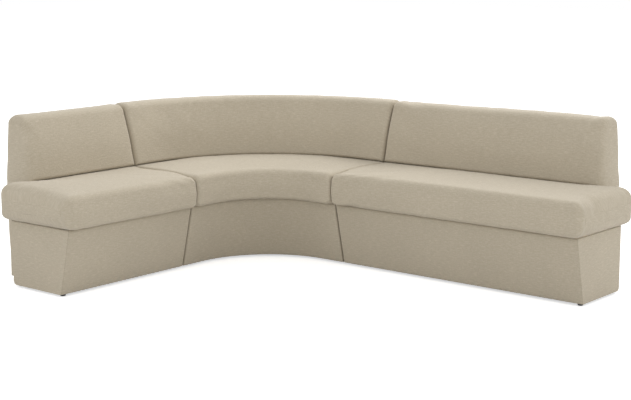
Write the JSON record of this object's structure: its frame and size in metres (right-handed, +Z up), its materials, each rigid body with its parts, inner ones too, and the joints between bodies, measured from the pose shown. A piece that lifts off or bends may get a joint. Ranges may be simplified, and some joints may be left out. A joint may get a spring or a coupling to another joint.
{
  "type": "corner sofa",
  "caption": "Upholstered corner sofa in straight and curved modules, with thick seat cushions over slanted plinths and leaning backs; bench-height seating round a corner.",
  "frame": {"origin": "on the floor, in the middle of the outer box seen from above", "axes": "+Z up; the long leg runs along X and faces -Y, the short leg runs along Y and faces +X; the rounded outer corner is at -X +Y"},
  "size_m": [2.552, 1.952, 0.82],
  "materials": {
    "upholstery_fabric": "beige boucle-like textured weave, matt with a faint soft sheen",
    "black_lining": "thin black non-woven lining",
    "cushion_foam": "open-cell upholstery foam",
    "frame_timber": "planed softwood, unfinished",
    "hardboard": "smooth hardboard",
    "plywood": "sanded birch plywood, unfinished",
    "glide_plastic": "moulded black plastic",
    "zinc_steel": "zinc plated"
  },
  "bodies": {
    "root": {"back_bolts": "zinc_steel", "corner_back_cover": "upholstery_fabric", "corner_back_foam": "cushion_foam", "corner_back_front_panel": "hardboard", "corner_back_posts": "frame_timber", "corner_back_rails": "frame_timber", "corner_back_rear_panel": "hardboard", "corner_dust_cover": "black_lining", "corner_glides": "glide_plastic", "corner_plinth_blocks": "frame_timber", "corner_plinth_cover": "upholstery_fabric", "corner_plinth_end_boards": "plywood", "corner_plinth_front_board": "plywood", "corner_plinth_rear_board": "plywood", "corner_plinth_ribs": "plywood", "corner_plinth_top_board": "plywood", "corner_seat_board": "plywood", "corner_seat_cover": "upholstery_fabric", "corner_seat_foam": "cushion_foam", "glide_screws": "zinc_steel", "left_back_cover": "upholstery_fabric", "left_back_foam": "cushion_foam", "left_back_front_panel": "hardboard", "left_back_posts": "frame_timber", "left_back_rails": "frame_timber", "left_back_rear_panel": "hardboard", "left_dust_cover": "black_lining", "left_glides": "glide_plastic", "left_plinth_blocks": "frame_timber", "left_plinth_cover": "upholstery_fabric", "left_plinth_end_boards": "plywood", "left_plinth_front_board": "plywood", "left_plinth_rear_board": "plywood", "left_plinth_ribs": "plywood", "left_plinth_top_board": "plywood", "left_seat_board": "plywood", "left_seat_cover": "upholstery_fabric", "left_seat_foam": "cushion_foam", "right_back_cover": "upholstery_fabric", "right_back_foam": "cushion_foam", "right_back_front_panel": "hardboard", "right_back_posts": "frame_timber", "right_back_rails": "frame_timber", "right_back_rear_panel": "hardboard", "right_dust_cover": "black_lining", "right_glides": "glide_plastic", "right_plinth_blocks": "frame_timber", "right_plinth_cover": "upholstery_fabric", "right_plinth_end_boards": "plywood", "right_plinth_front_board": "plywood", "right_plinth_rear_board": "plywood", "right_plinth_ribs": "plywood", "right_plinth_top_board": "plywood", "right_seat_board": "plywood", "right_seat_cover": "upholstery_fabric", "right_seat_foam": "cushion_foam", "seam_bolts": "zinc_steel", "seam_nuts": "zinc_steel", "seat_bolts": "zinc_steel"}
  },
  "joints": []
}
